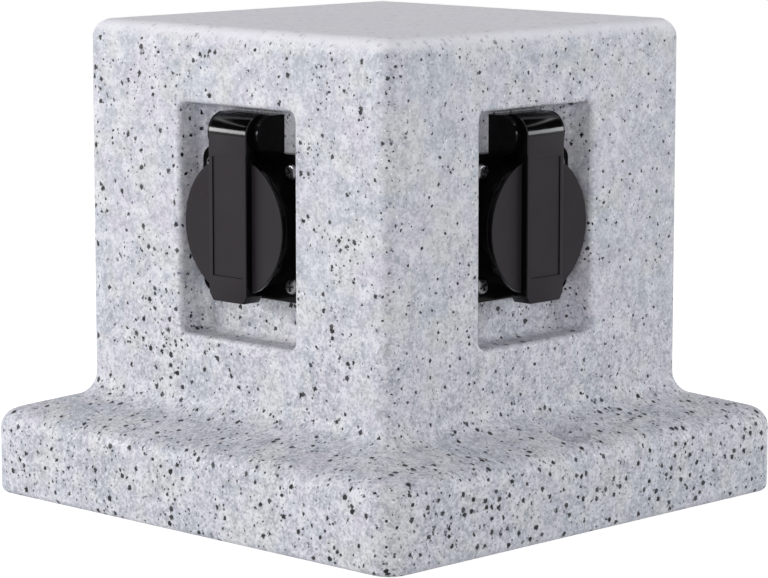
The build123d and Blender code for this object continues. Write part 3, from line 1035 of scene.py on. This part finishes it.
@dataclass
class Studio:
    """The camera, the surround, the floor and the lights."""

    distance: float = 1178.87 * MM
    elevation: float = 8.46
    azimuth: float = 44.41
    lens: float = 156.37
    sensor: float = 36.0
    nearest: float = 0.05
    furthest: float = 20.0
    aim_right: float = -0.29 * MM
    aim_up: float = 72.34 * MM
    surround: Colour = rgba(0.97, 0.98, 1.0)
    surround_strength: float = 0.22
    floor_size: float = 12.0
    floor_glow: float = 1.54
    floor_glow_share: float = 0.60
    lamps: Tuple[Lamp, ...] = (
        Lamp("soft_front", around(41.0, 10.0, 1.60), (0.42, 0.32), 8.0, mirrored=False),
        Lamp("soft_left", around(-44.0, 13.0, 1.30), (0.9, 0.25), 10.0),
        Lamp("soft_right", around(137.0, 12.0, 1.30), (0.9, 0.25), 5.7, rgba(0.94, 0.97, 1.0)),
        Lamp("soft_top", Vector((0.0, 0.1, 1.35)), (0.9, 0.9), 4.6),
    )
    sides: Tuple[Tuple[str, float, float], ...] = (("left", -92.0, -72.0), ("right", 181.0, 161.0))
    card_elevation: float = 47.0
    card_distance: float = 1.2
    card_size: Tuple[float, float] = (2.8, 1.16)
    strip_elevation: float = 40.0
    strip_distance: float = 1.05
    strip_size: Tuple[float, float] = (0.9, 0.06)
    strip_power: float = 0.35

    def set_camera(self) -> None:
        """Stands the camera where the photograph was taken from."""
        turn, tilt = math.radians(self.azimuth), math.radians(self.elevation)
        level = math.cos(tilt)
        back = Vector((math.sin(turn) * level, -math.cos(turn) * level, math.sin(tilt)))
        right = Vector((math.cos(turn), math.sin(turn), 0))
        lens = bpy.data.cameras.new("photo_camera")
        lens.lens = self.lens
        lens.sensor_width = self.sensor
        lens.clip_start, lens.clip_end = self.nearest, self.furthest
        camera = bpy.data.objects.new("photo_camera", lens)
        aim = right * self.aim_right + Vector((0, 0, self.aim_up))
        camera.location = aim + back * self.distance
        camera.rotation_mode = "QUATERNION"
        camera.rotation_quaternion = (-back).to_track_quat("-Z", "Y")
        bpy.context.scene.collection.objects.link(camera)
        bpy.context.scene.camera = camera

    def hang_card(self, name: str, place: Vector) -> None:
        """Hangs a dark card that shows only where something mirrors it.

        Args:
            name: the card's name.
            place: where it hangs.
        """
        clear_selection()
        bpy.ops.mesh.primitive_plane_add(size=1.0)
        card = bpy.context.object
        card.name = name
        card.scale = (*self.card_size, 1.0)
        card.location = place
        card.rotation_mode = "QUATERNION"
        card.rotation_quaternion = (place - STUDIO_MIDDLE).to_track_quat("-Z", "Y")
        material, _, _ = new_dull_material(name, 0.3, 0.004, 0.006, 1.0)
        card.data.materials.append(material)
        card.visible_camera = False
        card.visible_diffuse = False
        card.visible_shadow = False

    def set_world(self) -> None:
        """A plain pale surround, white where the camera sees it."""
        world = bpy.data.worlds.new("surround")
        world.use_nodes = True
        sheet = NodeSheet(world.node_tree)
        base = world.node_tree.nodes["Background"]
        base.inputs["Color"].default_value = self.surround
        base.inputs["Strength"].default_value = self.surround_strength
        seen = sheet.add("ShaderNodeBackground")
        seen.inputs["Color"].default_value = WHITE
        seen.inputs["Strength"].default_value = 1.0
        surface = world.node_tree.nodes["World Output"].inputs[0]
        sheet.mix_shaders(sheet.seen_directly(), base.outputs[0], seen.outputs[0], surface)
        bpy.context.scene.world = world

    def lay_floor(self) -> None:
        """A pale floor that keeps a soft shadow."""
        clear_selection()
        bpy.ops.mesh.primitive_plane_add(size=self.floor_size, location=(0, 0, 0))
        floor = bpy.context.object
        floor.name = "studio_floor"
        material, sheet, shader = new_dull_material("studio_floor", 0.5, 0.80, 0.84, 0.9)
        glow = sheet.add("ShaderNodeEmission")
        glow.inputs["Color"].default_value = WHITE
        glow.inputs["Strength"].default_value = self.floor_glow
        share = sheet.times(sheet.seen_directly(), self.floor_glow_share)
        surface = material.node_tree.nodes["Material Output"].inputs[0]
        sheet.mix_shaders(share, shader.outputs[0], glow.outputs[0], surface)
        floor.data.materials.append(material)

    def set_up(self) -> None:
        """Sets up the whole studio."""
        self.set_camera()
        self.set_world()
        self.lay_floor()
        for lamp in self.lamps:
            lamp.hang()
        for word, card, strip in self.sides:
            place = around(card, self.card_elevation, self.card_distance)
            self.hang_card(f"dark_card_{word}", place)
            place = around(strip, self.strip_elevation, self.strip_distance)
            Lamp(f"faint_strip_{word}", place, self.strip_size, self.strip_power).hang()
        bpy.context.scene.view_settings.view_transform = "Standard"


Finish = Union[GraniteFinish, PlasticFinish, MetalFinish]


@dataclass
class GardenSocket:
    """The whole object: its finishes and its pieces."""

    finishes: Tuple[Finish, ...] = (
        GraniteFinish(),
        PlasticFinish(
            "black_plastic", rgba(0.0016, 0.0014, 0.0016), Sheen.GLOSS, dust=0.02, specular=0.09),
        PlasticFinish(
            "lid_plastic", rgba(0.0160, 0.0130, 0.0160), Sheen.MATT, dust=0.02, specular=0.14),
        PlasticFinish(
            "polished_plastic", rgba(0.0016, 0.0014, 0.0016), Sheen.POLISHED,
            dust=0.0, specular=0.25),
        PlasticFinish("seal_rubber", rgba(0.012, 0.012, 0.012), Sheen.MATT, 1800.0, 0.05 * MM),
        PlasticFinish("terminal_plastic", rgba(0.70, 0.68, 0.62), Sheen.SATIN),
        PlasticFinish("lead_insulation", rgba(0.030, 0.050, 0.150), Sheen.SATIN),
        MetalFinish("screw_steel", rgba(0.20, 0.20, 0.21), 0.22),
        MetalFinish("contact_brass", rgba(0.78, 0.60, 0.30), 0.32),
    )
    lid: LidShell = field(default_factory=LidShell)
    lid_looks: Tuple[str, ...] = ("black_plastic", "lid_plastic", "polished_plastic")

    def make_finishes(self) -> Dict[str, bpy.types.Material]:
        """Builds every finish.

        Returns:
            Each finish by its slot's name.
        """
        effects = Effects()
        return {finish.name: finish.make(effects) for finish in self.finishes}

    def dress_nodes(self, looks: Dict[str, bpy.types.Material]) -> None:
        """Gives every CAD node the finish of its slot.

        Args:
            looks: each finish by its slot's name.
        """
        for entry in frame["record"]["subparts"]:
            dress(entry["node"], looks[entry["material_slot"]])

    def build(self) -> None:
        """Builds the object's looks."""
        looks = self.make_finishes()
        self.dress_nodes(looks)
        lid_looks = [looks[name] for name in self.lid_looks]
        lid = self.lid.build()
        set_round(lid, "lid", lambda side: f"{side.word}_lid_body", lid_looks)


def main() -> None:
    """Builds the object and the studio."""
    logging.basicConfig(level=logging.INFO, format="%(name)s %(message)s")
    Studio().set_up()
    GardenSocket().build()


if __name__ == "__main__":
    main()
